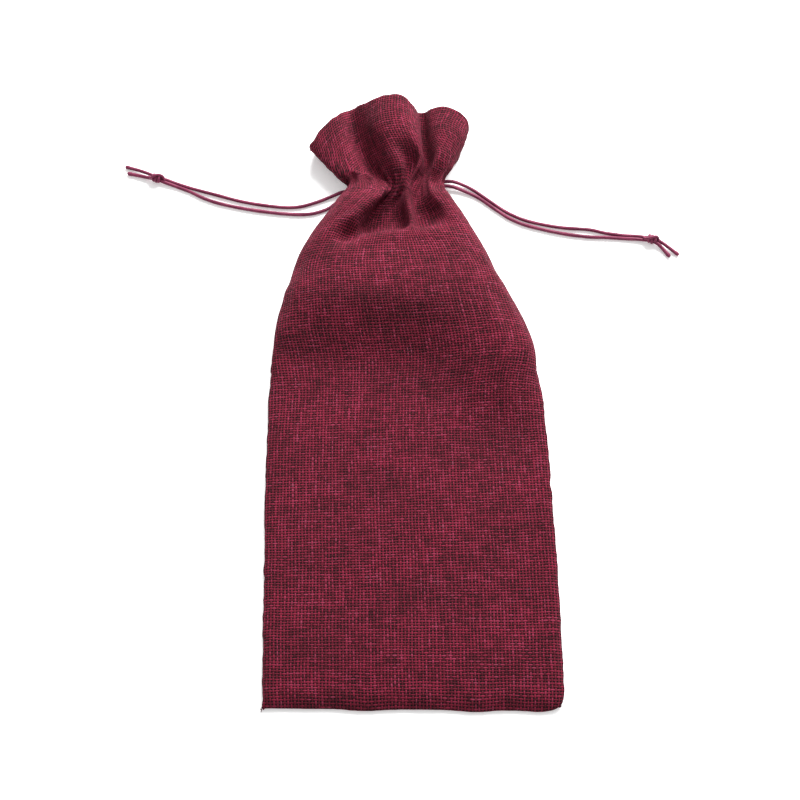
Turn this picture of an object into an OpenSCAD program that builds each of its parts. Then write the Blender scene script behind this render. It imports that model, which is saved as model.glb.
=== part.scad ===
// Drawstring wine gift bag, lying flat on its back panel with its mouth drawn shut.
// X runs across the bag, Y from the bottom seam towards the mouth, Z up from the table.
// The origin is under the middle of the bag, on the surface that it lies on.

/* [Bag] */
// Width of the flat bag
bag_w = 150; // [146:1:154]
// Length of the bag as it lies, bottom seam to ruffle edge
bag_l = 348; // [346:1:352]
// Thickness of one layer of cloth
cloth_t = 1; // [0.9:0.1:1]
// Height of the empty lower body over the back panel
low_h = 8; // [8:0.5:10]
// Height of the puffed shoulder over the back panel
crest_h = 25; // [24:0.5:28]

/* [Neck] */
// Half width of the gathered neck
neck_w = 28; // [28:0.5:29]
// Height of the gathered neck over the back panel
neck_h = 21; // [21:0.5:22]
// Length of the cord casing along the bag
casing_l = 15; // [15:0.5:16]
// Depth of the cord channel between the two layers
channel_d = 3; // [3:0.1:3.2]

/* [Ruffle] */
// Length of the ruffle at its middle
ruffle_l = 44; // [42:1:46]
// Length of the ruffle at its side edges
ruffle_side_l = 24; // [20:1:26]
// Half width of the open ruffle
ruffle_w = 48; // [44:1:50]
// Height of the open ruffle over the back ruffle
ruffle_h = 24; // [22:1:26]

/* [Cords] */
// Diameter of the drawcord
cord_d = 2; // [1.8:0.1:2]
// Length of a stopper knot
knot_l = 10; // [8:0.5:12]
// Diameter of a stopper knot
knot_d = 5.2; // [4.8:0.1:5.6]

/* [Seams] */
// Width of the seam allowance inside the bag
allowance_w = 6; // [5:0.5:7]
// Width of the overlock thread along an allowance
overlock_w = 1.2; // [1:0.1:1.4]
// Height of a stitch line over the cloth
stitch_h = 0.6; // [0.4:0.1:0.6]

/* [Hidden] */
$fn = 48;

CLOTH = "#8f1a3a";
FACING = "#7c1733";
THREAD = "#6d1430";
CORD = "#6b2045";

foot_y = -bag_l / 2;
hem_y = bag_l / 2;
ruffle_y = hem_y - ruffle_l;
casing_y = ruffle_y - casing_l;
casing_mid_y = casing_y + casing_l / 2;

// Cloth arches: 24 steps from the right edge over the front to the left edge
arch_steps = 24;
full_arch = [0, arch_steps];
exit_arch = [2, arch_steps - 2];

// The casing is pinched by this much where its two stitch lines run
pinch = channel_d;
lining_d = cloth_t + channel_d;
lip_l = 1;
taper_l = 125;
foot_rise_l = 20;
crest_y = 55;
crest_run = 115;

// Drawcord lanes inside the casing, counted from the body side
lane_gap = 2.6;
function lane_y(n) = casing_mid_y + (n - 1.5) * lane_gap;
lane_z = cloth_t + channel_d / 2;
leg_in = 7;
leg_out = 24;

function smooth(t) = let (c = min(1, max(0, t))) c * c * (3 - 2 * c);
function mix(a, b, t) = a + (b - a) * t;

// Half width of the body, a parabola from the full width in to the neck
function body_w(y) = let (
    t = min(1, max(0, (casing_y - y) / taper_l)),
    pinched = neck_w - pinch
) pinched + (bag_w / 2 - pinched) * (1 - pow(1 - t, 2));

// Height of the front panel over the back panel
function body_h(y) = let (
    foot = min(1, (y - foot_y) / foot_rise_l),
    low = low_h * (1 - pow(1 - foot, 2)),
    up = smooth((y - crest_y + crest_run) / crest_run),
    down = smooth((y - crest_y) / (casing_y - crest_y))
) mix(mix(low, crest_h, up), neck_h - pinch, down);

// The arch is boxy low down, where the bag lies flat, and round at the neck
function arch_power(y) = 3 - smooth((y - 20) / (casing_y - 20));

// One point of an arch: a superellipse of half width w and height h
function arch_point(i, y, w, h, base, power) = let (a = 180 * i / arch_steps) [
    w * sign(cos(a)) * pow(abs(cos(a)), 2 / power),
    y,
    base + h * pow(max(0, sin(a)), 2 / power)
];

function arch(range, y, w, h, base = cloth_t, power = 2) =
    [for (i = [range[0] : range[1]]) arch_point(i, y, w, h, base, power)];

// Ring of the neck at a depth below the outside of the casing
function neck_ring(range, y, depth) = arch(range, y, neck_w - depth, neck_h - depth);

// A sheet of cloth with thickness: outer rows, inner rows and the rims that join them
module shell(outer, inner) {
    rows = len(outer);
    cols = len(outer[0]);
    inside = rows * cols;
    function at(r, c) = r * cols + c;
    points = [for (grid = [outer, inner]) for (row = grid) for (p = row) p];
    skin = [for (r = [0 : rows - 2]) for (c = [0 : cols - 2])
        [at(r, c), at(r, c + 1), at(r + 1, c + 1), at(r + 1, c)]];
    lining = [for (q = skin) [for (k = [3 : -1 : 0]) q[k] + inside]];
    ends = [for (r = [0, rows - 1]) for (c = [0 : cols - 2])
        let (q = [at(r, c), at(r, c) + inside, at(r, c + 1) + inside, at(r, c + 1)])
        r == 0 ? q : [q[3], q[2], q[1], q[0]]];
    sides = [for (c = [0, cols - 1]) for (r = [0 : rows - 2])
        let (q = [at(r, c), at(r + 1, c), at(r + 1, c) + inside, at(r, c) + inside])
        c == 0 ? q : [q[3], q[2], q[1], q[0]]];
    quads = concat(skin, lining, ends, sides);
    polyhedron(points, [for (q = quads) each [[q[0], q[1], q[2]], [q[0], q[2], q[3]]]]);
}

// A round cord swept along its own route points; its sides are laid out square to side_axis
module cord(route, side_axis) {
    sides = 8;
    last = len(route) - 1;
    function unit(v) = v / norm(v);
    function along(i) = unit(route[min(last, i + 1)] - route[max(0, i - 1)]);
    rings = [for (i = [0 : last]) for (k = [0 : sides - 1])
        let (
            u = unit(cross(along(i), side_axis)),
            v = cross(along(i), u),
            a = 360 * (k + 0.5) / sides
        ) route[i] + cord_d / 2 * (u * cos(a) + v * sin(a))];
    walls = [for (i = [0 : last - 1]) for (k = [0 : sides - 1])
        let (n = (k + 1) % sides, a = i * sides, b = a + sides)
        each [[a + n, a + k, b + n], [a + k, b + k, b + n]]];
    first_cap = [for (k = [0 : sides - 1]) k];
    last_cap = [for (k = [sides - 1 : -1 : 0]) last * sides + k];
    polyhedron(rings, concat(walls, [first_cap, last_cap]));
}

// Rows of the body from the bottom seam to the casing
foot_steps = [0, 0.15, 0.35, 0.65, 1];
body_steps = 24;
body_rows = concat(
    [for (s = foot_steps) foot_y + s * foot_rise_l],
    [for (k = [1 : body_steps]) mix(foot_y + foot_rise_l, casing_y, k / body_steps)]
);
edge_t = 1.2 * cloth_t;
foot_seam_l = 1.5;

module front_panel() {
    outer = [for (y = body_rows)
        arch(full_arch, y, body_w(y), body_h(y), power = arch_power(y))];
    inner = [for (y = body_rows) y == foot_y
        ? arch(full_arch, y + foot_seam_l, body_w(y) - edge_t, 0, power = arch_power(y))
        : arch(full_arch, y, body_w(y) - edge_t, body_h(y) - cloth_t, power = arch_power(y))];
    color(CLOTH) shell(outer, inner);
}

module back_panel() {
    right = [for (y = body_rows) [body_w(y), y]];
    left = [for (k = [len(right) - 1 : -1 : 0]) [-right[k].x, right[k].y]];
    color(CLOTH) linear_extrude(cloth_t) polygon(concat(right, left));
}

// The casing: pinched flat under both stitch lines and bulged over the cords between them
module front_casing() {
    rows = [
        [casing_y, pinch], [casing_y + lip_l, pinch], [casing_y + 2 * lip_l, 0],
        [ruffle_y - 2 * lip_l, 0], [ruffle_y - lip_l, pinch], [ruffle_y, pinch]
    ];
    outer = [for (r = rows) neck_ring(exit_arch, r[0], r[1])];
    inner = [for (r = rows) neck_ring(exit_arch, r[0], r[1] + cloth_t)];
    color(CLOTH) shell(outer, inner);
}

module back_casing() {
    color(CLOTH) translate([-neck_w, casing_y, 0]) cube([2 * neck_w, casing_l, cloth_t]);
}

module front_casing_lining() {
    rows = [casing_y, ruffle_y];
    outer = [for (y = rows) neck_ring(exit_arch, y, lining_d)];
    inner = [for (y = rows) neck_ring(exit_arch, y, lining_d + cloth_t)];
    color(FACING) shell(outer, inner);
}

// The facing behind the back casing, raised over the cords like a low bridge
module back_casing_lining() {
    half_l = casing_l / 2;
    top_z = cloth_t + channel_d;
    side = [
        [half_l, cloth_t], [half_l, 2 * cloth_t], [half_l - lip_l * 0.8, 2 * cloth_t],
        [half_l - lip_l * 1.8, top_z + cloth_t]
    ];
    under = [[half_l - lip_l * 2.6, top_z], [half_l - lip_l * 1.4, cloth_t]];
    profile = concat(
        side,
        [for (k = [3 : -1 : 0]) [-side[k].x, side[k].y]],
        [for (k = [1, 0]) [-under[k].x, under[k].y]],
        under
    );
    color(FACING) translate([0, casing_mid_y, 0]) rotate([90, 0, 90])
        linear_extrude(2 * back_lining_w, center = true) polygon(profile);
}
back_lining_w = 21;

// The ruffle opens like a fan from the pinched neck, in soft lobes
ruffle_steps = 8;
lobe_depth = 0.14;
function fan(t, closed, open) = mix(closed, open, sin(90 * t));
function ruffle_w_at(t) = fan(t, neck_w - pinch, ruffle_w);
function ruffle_len(a) = mix(ruffle_side_l, ruffle_l, sin(a));
function ruffle_point(i, t, inset) = let (
    a = 180 * i / arch_steps,
    lobes = 1 - lobe_depth * t * (1 - cos(8 * a)) / 2,
    h = fan(t, neck_h - pinch - cloth_t, ruffle_h) * lobes - inset
) [
    (ruffle_w_at(t) - inset) * cos(a),
    ruffle_y + t * ruffle_len(a),
    2 * cloth_t + h * sin(a)
];

module front_ruffle() {
    function grid(inset) = [for (r = [0 : ruffle_steps])
        [for (i = [0 : arch_steps]) ruffle_point(i, r / ruffle_steps, inset)]];
    color(CLOTH) shell(grid(0), grid(2 * cloth_t));
}

module back_ruffle() {
    right = [for (r = [0 : ruffle_steps]) let (t = r / ruffle_steps)
        [ruffle_w_at(t), ruffle_y + t * ruffle_side_l]];
    hem = [for (i = [1 : arch_steps - 1]) let (a = 180 * i / arch_steps)
        [ruffle_w * cos(a), ruffle_y + ruffle_len(a)]];
    left = [for (k = [len(right) - 1 : -1 : 0]) [-right[k].x, right[k].y]];
    color(CLOTH) linear_extrude(2 * cloth_t) polygon(concat(right, hem, left));
}

// Seam allowances: the raw edges inside, both panels' layers together, bound with overlock thread
seam_inset = 6;
side_seam_rows = [for (y = body_rows) if (y > foot_y + 2.5 * seam_inset && y < casing_y - lip_l) y];
bottom_seam_w = 120;
bottom_seam_y = foot_y + seam_inset;
seam_t = 2 * cloth_t;
overlock_t = seam_t + 0.4;

module side_strip(from_edge, width, height) {
    outside = [for (y = side_seam_rows) [body_w(y) - from_edge, y]];
    inside = [for (k = [len(outside) - 1 : -1 : 0]) outside[k] - [width, 0]];
    translate([0, 0, cloth_t]) linear_extrude(height) polygon(concat(outside, inside));
}

module side_allowance() {
    color(CLOTH) side_strip(seam_inset, allowance_w, seam_t);
}

module side_overlock() {
    color(THREAD) side_strip(seam_inset + allowance_w, overlock_w, overlock_t);
}

module left_seam_allowance() { mirror([1, 0, 0]) side_allowance(); }
module right_seam_allowance() { side_allowance(); }
module left_seam_overlock() { mirror([1, 0, 0]) side_overlock(); }
module right_seam_overlock() { side_overlock(); }

module bottom_strip(y, width, height) {
    translate([-bottom_seam_w / 2, y, cloth_t]) cube([bottom_seam_w, width, height]);
}

module bottom_seam_allowance() {
    color(CLOTH) bottom_strip(bottom_seam_y, allowance_w, seam_t);
}

module bottom_seam_overlock() {
    color(THREAD) bottom_strip(bottom_seam_y + allowance_w, overlock_w, overlock_t);
}

// The two stitch lines that close the casing, over the front and across the back
stitch_w = 0.6;
stitch_gap = 0.2;
back_stitch_l = 36;
lower_stitch_y = casing_y + stitch_gap;
upper_stitch_y = ruffle_y - stitch_gap - stitch_w;

module front_stitch(y) {
    rows = [y, y + stitch_w];
    color(THREAD) shell(
        [for (r = rows) neck_ring(exit_arch, r, pinch - stitch_h)],
        [for (r = rows) neck_ring(exit_arch, r, pinch)]
    );
}

module back_stitch(y) {
    color(THREAD) translate([-back_stitch_l / 2, y, 2 * cloth_t])
        cube([back_stitch_l, stitch_w, stitch_h]);
}

module lower_casing_stitch_front() { front_stitch(lower_stitch_y); }
module lower_casing_stitch_back() { back_stitch(lower_stitch_y); }
module upper_casing_stitch_front() { front_stitch(upper_stitch_y); }
module upper_casing_stitch_back() { back_stitch(upper_stitch_y); }

// Drawcords. Each goes round the whole casing in two lanes, leaves through the gap in one side
// seam as two tails, and the tails are tied together. Tails lie on the table at lie_z.
lie_z = 1.1;
loop_end_z = 4.9;

// Loop inside the casing: across the back in lane a, up at one side, and over the front to lane b
module cord_loop(a, b) {
    back = [for (x = [-6.6, 6, 18, 22.4]) [x, lane_y(a), lane_z]];
    over = [for (i = [2 : 2 : arch_steps - 2])
        arch_point(i, mix(lane_y(a), lane_y(b), (i - 2) / (arch_steps - 4)),
            neck_w - lining_d + channel_d / 2, neck_h - lining_d + channel_d / 2, cloth_t, 2)];
    color(CORD) cord(concat(back, over, [[-24.8, lane_y(b), loop_end_z]]), [0, 1, 0]);
}

module cord_tail(route) {
    color(CORD) cord(route, [0, 0, 1]);
}

left_front_route = [
    [-leg_in, lane_y(1), lane_z], [-leg_out, lane_y(1), lane_z], [-32, 121.2, 2.5],
    [-39, 118.8, 1.6], [-48, 115.4, lie_z], [-59, 112.6, lie_z], [-72, 113.3, lie_z],
    [-90, 116.9, lie_z], [-106, 122.4, lie_z], [-122, 128, lie_z], [-134, 132.6, 1.7],
    [-142, 135, 2.2], [-158.5, 142, lie_z]
];
left_back_route = [
    [-leg_in, lane_y(0), lane_z], [-leg_out, lane_y(0), lane_z], [-31, 118, 2.5],
    [-36, 114.6, 1.6], [-42, 110.6, lie_z], [-52, 107.8, lie_z], [-66, 108.3, lie_z],
    [-84, 111.2, lie_z], [-101, 115.3, lie_z], [-117, 121.4, lie_z], [-134, 129.6, 1.5],
    [-142, 133, 2], [-157, 137.5, lie_z]
];
right_front_route = [
    [leg_in, lane_y(3), lane_z], [leg_out, lane_y(3), lane_z], [31, 126.6, 2.5],
    [37, 124.9, 1.6], [44, 120.9, lie_z], [55, 111.6, lie_z], [64, 104.8, lie_z],
    [75, 99.6, lie_z], [92, 95.4, lie_z], [112, 92.9, lie_z], [126, 90.6, lie_z],
    [138, 88.4, 1.6], [147, 85, 2.2], [157.5, 76.5, lie_z]
];
right_back_route = [
    [leg_in, lane_y(2), lane_z], [leg_out, lane_y(2), lane_z], [31, 123.2, 2.5],
    [37, 121, 1.6], [46, 116.2, lie_z], [56, 107.8, lie_z], [64, 101.6, lie_z],
    [74, 96.8, lie_z], [92, 92.2, lie_z], [112, 88.6, lie_z], [126, 87.2, lie_z],
    [138, 85.5, 1.6], [146, 83.5, 2], [152.5, 75.6, lie_z]
];

module left_cord_loop() { cord_loop(0, 1); }
module right_cord_loop() { mirror([1, 0, 0]) cord_loop(3, 2); }
module left_cord_front_tail() { cord_tail(left_front_route); }
module left_cord_back_tail() { cord_tail(left_back_route); }
module right_cord_front_tail() { cord_tail(right_front_route); }
module right_cord_back_tail() { cord_tail(right_back_route); }

// Overhand knot that ties two tails: a barrel lying along the cord
module knot(x, y, turn) {
    steps = 10;
    profile = [for (k = [0 : steps]) let (a = 180 * k / steps)
        [knot_d / 2 * sqrt(sin(a)), knot_l / 2 * cos(a)]];
    color(CORD) translate([x, y, knot_d / 2]) rotate([0, 90, turn]) rotate_extrude() polygon(profile);
}

module left_knot() { knot(-140.5, 133.2, -23); }
module right_knot() { knot(143.5, 85.6, -25); }

front_panel();
back_panel();
front_casing();
back_casing();
front_casing_lining();
back_casing_lining();
front_ruffle();
back_ruffle();
left_seam_allowance();
right_seam_allowance();
bottom_seam_allowance();
left_seam_overlock();
right_seam_overlock();
bottom_seam_overlock();
lower_casing_stitch_front();
lower_casing_stitch_back();
upper_casing_stitch_front();
upper_casing_stitch_back();
left_cord_loop();
left_cord_front_tail();
left_cord_back_tail();
left_knot();
right_cord_loop();
right_cord_front_tail();
right_cord_back_tail();
right_knot();
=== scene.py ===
import math
import bpy
import numpy as np
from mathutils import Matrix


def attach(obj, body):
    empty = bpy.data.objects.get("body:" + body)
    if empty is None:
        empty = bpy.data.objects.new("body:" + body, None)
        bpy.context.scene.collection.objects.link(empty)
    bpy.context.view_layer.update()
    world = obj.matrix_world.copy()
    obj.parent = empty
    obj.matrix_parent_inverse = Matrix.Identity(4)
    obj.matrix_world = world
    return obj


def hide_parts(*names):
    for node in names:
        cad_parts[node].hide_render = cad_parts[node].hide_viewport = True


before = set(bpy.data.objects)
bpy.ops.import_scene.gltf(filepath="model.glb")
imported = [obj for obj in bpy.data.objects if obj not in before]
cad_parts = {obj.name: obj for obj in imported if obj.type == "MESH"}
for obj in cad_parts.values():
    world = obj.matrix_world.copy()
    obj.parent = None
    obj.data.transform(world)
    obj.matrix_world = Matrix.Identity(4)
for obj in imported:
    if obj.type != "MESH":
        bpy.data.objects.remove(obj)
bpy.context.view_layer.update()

# A drawstring gift bag for a bottle, of coarse dark-red cloth. It lies on its back, tied shut and empty, with
# its foot at -Y and its mouth at +Y. Lengths are in millimetres unless they say metres.
MM = 0.001

# ---------------- sizes of the flat cloth

PANEL_WIDTH = 150.0  # seam to seam
PANEL_LENGTH = 354.0  # foot seam to the folded hem
CASING_LOW = 295.0  # the casing's lower stitch line, along the cloth from the foot
CASING_HIGH = 309.0  # the casing's upper stitch line
WAIST = 302.0  # middle of the casing, where the cords draw the cloth together
CLOTH_THICK = 0.7
FACING_GAP = 1.45  # from the cloth's face to the turned-in facing's face
WARP_PITCH = 1.70  # between threads, across the bag
WEFT_PITCH = 1.44  # between threads, along the bag

# ---------------- cords

CORD_DIAMETER = 2.0
CORD_RING_STEP = 1.0  # between rings of a cord's tube
CORD_UNEVEN = 0.05  # how much a cord's thickness varies, as a share
CORD_UNEVEN_WAVES = (61, 23)  # radians from one end of a cord to the other
TIP_FLARE = 1.12  # of a cord's cut tip

# Each strand starts inside the gathered casing and ends at its cut tip.
STRAND_ROUTES = {
    "left_cord_front_tail": [
        (-7, 121.2, 2.5), (-24, 121.2, 2.5), (-32, 121.2, 2.5), (-39, 118.8, 1.6), (-48, 115.4, 1.1),
        (-59, 112.6, 1.1), (-72, 113.3, 1.1), (-90, 116.9, 1.1), (-106, 122, 1.1), (-120, 126.6, 1.1),
        (-128, 129.6, 1.1), (-134, 132, 1.7), (-142, 135, 2.2), (-150, 138.8, 1.6), (-158.5, 142, 1.1)],
    "left_cord_back_tail": [
        (-7, 118.6, 2.5), (-24, 118.6, 2.5), (-31, 118, 2.5), (-36, 114.6, 1.6), (-42, 110.6, 1.1),
        (-52, 107.8, 1.1), (-66, 108.3, 1.1), (-84, 111.2, 1.1), (-101, 115.3, 1.1), (-112, 119.4, 1.1),
        (-121, 124.4, 1.1), (-128, 127.6, 1.1), (-134, 130, 1.5), (-142, 133, 2), (-157, 137.5, 1.1)],
    "right_cord_front_tail": [
        (7, 126.4, 2.5), (24, 126.4, 2.5), (31, 126.6, 2.5), (37, 124.9, 1.6), (44, 120.9, 1.1),
        (55, 111.6, 1.1), (64, 104.8, 1.1), (75, 99.6, 1.1), (92, 95.4, 1.1), (108, 93.6, 1.1),
        (118, 91, 1.1), (128, 89.2, 1.1), (138, 87.9, 1.6), (147, 85, 2.2), (157.5, 76.5, 1.1)],
    "right_cord_back_tail": [
        (7, 123.8, 2.5), (24, 123.8, 2.5), (31, 123.2, 2.5), (37, 121, 1.6), (46, 116.2, 1.1),
        (56, 107.8, 1.1), (64, 101.6, 1.1), (74, 96.8, 1.1), (92, 91.6, 1.1), (108, 88.8, 1.1),
        (118, 88.2, 1.1), (128, 87.2, 1.1), (138, 86, 1.6), (146, 83.5, 2), (152.5, 75.6, 1.1)],
}
# Each knot's centre, and the way the cord runs through it, in degrees from +X.
KNOTS = {"left_knot": ((-140.5, 133.2, 2.6), 157.0), "right_knot": ((143.5, 85.6, 2.6), -25.0)}
LOOP_CENTRE = (1.5, 122.5, 6.4)
LOOP_HALF = (13.0, 0.5)  # across and up, inside the gathered neck
LOOP_SHIFT = 1.3  # of each loop along the bag, so that the two lie side by side
LOOP_POINTS = 60
LOOP_OPEN = 0.15  # radians left open at each end of a loop, where its tails go out

# ---------------- shape of the front, before the cloth settles


def at_y(y, *points):
    """Points (x, z) that all lie at one y."""
    return [(x, y, z) for x, z in points]


# Key: distance along the cloth from the foot seam. Points: the front's outline there, from the right seam on.
BODY_RINGS = {
    0: [(75.6, -177.4, 1.2), (0, -175, 1.2), (-75.6, -172.4, 1.2)],
    5: [(75.7, -172.3, 1.6), (70, -172.2, 3.4), (0, -170, 3.6), (-70, -167.6, 3.4), (-75.6, -167.5, 1.6)],
    14: [(75.9, -163, 1.6), (69, -162.8, 4), (0, -160.8, 4.6), (-69, -158.8, 4), (-75.7, -158.6, 1.6)],
    60: [(77, -115.6, 1.7), (69, -115.4, 3.8), (0, -114.4, 4.2), (-69, -113.4, 3.8), (-75.7, -113.2, 1.7)],
    100: at_y(-74, (76.8, 1.8), (68, 3.8), (0, 4.2), (-68, 3.8), (-75.7, 1.8)),
    150: at_y(-24, (76, 2.5), (69, 4.6), (50, 4.8), (30, 4.6), (0, 4.5), (-35, 4.4), (-67, 4.2),
              (-74.7, 2)),
    170: at_y(-4.5, (74.6, 3), (68, 8), (55, 10.5), (41, 9.5), (28, 6.5), (14, 5), (0, 4.7), (-35, 4.7),
              (-66, 4.5), (-74, 2.5)),
    190: at_y(15, (69, 3), (73, 7), (68, 13), (56, 16), (40, 14), (24, 10), (8, 7.2), (-10, 6.8),
              (-40, 6.8), (-65, 7), (-73, 5), (-70, 3)),
    205: at_y(29, (64, 3), (69.4, 7), (64, 14), (52, 18), (35, 16), (10, 13), (-15, 12.5), (-42, 12.5),
              (-64, 11.5), (-71.6, 6), (-66, 3)),
    222: at_y(46, (56, 3), (62.4, 7), (57, 15), (45, 18.8), (25, 19.4), (0, 19.6), (-25, 19.3), (-45, 18.5),
              (-60, 15), (-68, 7), (-61, 3)),
    232: at_y(55, (50, 3), (58.3, 8), (53, 16), (40, 19.6), (20, 20.4), (0, 20.8), (-22, 20.4), (-42, 20),
              (-58, 16), (-65.5, 8), (-57, 3)),
    243: at_y(65.5, (43, 3), (53, 7), (49, 15.5), (38, 19.5), (20, 20.4), (0, 20.6), (-20, 20.4),
              (-38, 20.2), (-53, 16.5), (-62, 8), (-50, 3)),
}
# Distance of each fold from the right seam, across the flat cloth. Below the waist: seam, right side, rim
# (two), slope, the centre pleat's foot, top and foot, floor (two), the left shoulder's edge, middle and
# outside (two), seam. Above it: seam, right lobe (three), valley (two), roll (three), valley (two), left
# flap (three), seam.
FOLDS_AT = (0, 10, 20, 29, 40, 49, 58, 68, 80, 94, 105, 116, 128, 139.5, 150)
FOLDED_RINGS = {
    254: at_y(77, (37.5, 3), (48.5, 6), (44, 15.5), (35.5, 19), (26, 19.8), (18, 19.8), (10, 19.8),
              (1, 19.6), (-9.5, 19.4), (-21.5, 19.2), (-31.5, 19.4), (-41, 19.4), (-52, 15.5), (-57.5, 6.5),
              (-47, 3)),
    264: [(32, 87.5, 3), (43, 87.5, 6), (39.5, 87.5, 15.5), (31.5, 87.5, 18.8), (21, 87, 19.2),
          (12, 86.8, 19), (6.5, 86.8, 19.2), (1, 86.8, 18.8), (-7.5, 86.5, 18.6), (-19, 85.6, 17),
          (-29, 85.8, 12.5), (-36.5, 87, 19.5), (-47.5, 87, 16), (-52, 87, 7), (-42, 87.5, 3)],
    271: [(29, 94, 3), (40, 94, 6.3), (36, 94, 15.8), (28.5, 94, 18.8), (21, 92.5, 14.5), (11, 91, 11.5),
          (7, 92, 16.5), (3, 91, 11), (-7, 90.8, 9.5), (-20.5, 91, 7), (-25, 92.5, 19.3), (-33.5, 93.5, 20),
          (-43, 94, 16.3), (-48, 94, 7.3), (-38, 94.5, 3)],
    280: [(25, 101.5, 3), (36, 101.5, 6.5), (32.5, 101.5, 16), (25, 101.3, 18.5), (19, 100, 11.5),
          (10, 99.5, 8), (5.8, 100.5, 17), (2, 99, 6.5), (-7, 98.8, 5), (-19, 98.8, 5.5), (-18, 99.5, 19.3),
          (-28, 101, 20), (-37.5, 101.5, 16.5), (-42.3, 101.5, 7.7), (-32.5, 102.5, 3)],
    290: [(19, 111.5, 3), (30.3, 111, 6), (27.5, 110.5, 16), (19.5, 110, 18), (15, 109.5, 12), (8.5, 109, 9),
          (4.2, 110, 18), (0.5, 109, 8), (-6, 109.5, 6.5), (-13.5, 109, 7.5), (-10.5, 107.5, 19),
          (-20, 109, 19.5), (-31, 110, 17), (-36.3, 111, 8), (-26.5, 112, 3)],
    302: [(13, 123, 4.5), (25, 122.5, 6.5), (24.5, 122, 11), (18, 121.5, 12.5), (14.5, 121, 10),
          (11, 120.5, 10), (7.5, 121, 15), (4.5, 120.5, 11), (0.5, 120.5, 13), (-3.5, 119.5, 10),
          (-7, 119, 11.5), (-14.5, 121, 13.5), (-24.5, 122.5, 12), (-28, 122.8, 7.5), (-20, 123, 4)],
    314: [(20, 132, 3.5), (30.8, 131.5, 7), (29.5, 133, 14.5), (23, 134, 17.5), (18.5, 133, 8.5),
          (15.5, 132.5, 5.5), (14, 134, 18.5), (9.5, 133, 11), (0, 133.5, 19), (-9, 132.5, 11),
          (-13.5, 131, 4), (-21, 130.5, 10.5), (-28.5, 129.5, 12.5), (-34, 126.5, 10), (-32, 128, 4.5)],
    322: [(23.5, 136, 3.7), (34.4, 138, 7.5), (32.4, 140, 15.2), (24, 141.5, 18), (18.3, 141.2, 9.5),
          (15.3, 141, 4.5), (13.8, 141.7, 18.5), (6.5, 142, 20.5), (-4.7, 142.2, 20), (-12.8, 141, 9.5),
          (-17.5, 139.2, 3.8), (-24.3, 137.4, 11), (-31.6, 134.4, 12.5), (-37.3, 130.3, 10.2),
          (-35.5, 131.8, 4.7)],
    332: [(28, 141, 4), (39, 146.5, 8), (36, 149, 16), (25.5, 150.5, 19), (18, 151.5, 11),
          (15.3, 151.5, 3.5), (13.5, 151.5, 18.5), (3, 153.5, 23.5), (-10.5, 153, 20.5), (-17.5, 151.5, 8),
          (-22.5, 149.5, 3.5), (-28.5, 146, 11.5), (-35.5, 140.5, 12.5), (-41.5, 135, 10.5),
          (-40, 136.5, 5)],
    354: [(36, 150, 3.5), (42, 156.5, 9.5), (38.5, 164, 16), (28, 168, 18), (19, 169, 13), (14.2, 171, 6.5),
          (11, 168.5, 17), (2, 173.8, 23.5), (-11, 173, 21), (-21.5, 174.8, 11), (-27.5, 173.3, 8),
          (-33.5, 166.5, 14), (-42, 158, 15), (-51, 146.5, 12.5), (-50, 148, 7)],
}
BACK_PLEATS = 7
BACK_PLEAT_MARGIN = 0.12  # share of the back's width at each side where its pleats fade out
# Key: distance along the cloth from the foot seam. Value: how far the back's pleats rise into the bag.
BACK_PLEAT_HEIGHT = {0: 0.0, 190: 0.2, 205: 1.0, 240: 3.0, 266: 4.5, 290: 4.0, 302: 3.2, 314: 3.0, 354: 2.5}
BACK_REST = 0.7  # height of the back's face over the floor
BACK_UNDER = 1.5  # the back stays this far inside the front's outline
# Key: the same. Value: how far the middle of the back lies towards +Y of its sides.
HEM_BULGE = {310: 2.0, 354: 18.0}

# ---------------- the cloth's simulation

CELLS_AROUND, CELLS_ALONG = 128, 152
HALF = CELLS_AROUND // 2
CELL_ACROSS = 2 * PANEL_WIDTH / CELLS_AROUND
CELL_ALONG = PANEL_LENGTH / CELLS_ALONG
STEPS, QUICK_STEPS = 200, 50
PULL, PUSH, PUSH_ALONG = 1.0, 0.5, 0.8  # how firmly cloth resists stretching and crowding
GATHERED, STRETCHED = 0.6, 1.12  # the shortest and longest that a thread's length may come out
SHEAR, BEND = 0.15, 0.04  # how firmly it resists leaning and bending
GRAVITY = 0.004  # fall in one step
HOLD_START, HOLD_END = 0.25, 0.15  # share of the way back to its first shape in one step
HOLD_UNTIL = 0.6  # share of the steps over which the hold relaxes
# Key: distance along the cloth. Value: how much of that hold the front feels.
HOLD_FRONT = {0: 0.4, 100: 0.5, 150: 1.0, 270: 1.0, 290: 0.8, 302: 0.6, 314: 0.9, 354: 1.0}
HOLD_BACK_SHARE = 0.2
TOUCH = 2.2  # cloth nearer than this to other cloth is pushed apart
TOUCH_FROM = 235.0  # from here to the hem, the cloth is folded tightly enough to touch itself
TOUCH_EVERY = 6  # steps between two looks for cloth that touches
NEIGHBOURS = 2  # cells away, where cloth counts as joined and isn't pushed apart
LAYERED_TO = 250.0  # up to here the front simply lies over the back
LAYER_GAP = 1.2  # between them there, at least
SWING_EARLY, SWING_LATE = 0.9, 0.5  # share of its speed that the cloth keeps at each step
LATE_FROM = 0.7  # share of the steps after which the cloth swings less
TINY = 1e-9  # keeps divisions by a length away from zero

# ---------------- handling marks

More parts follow.
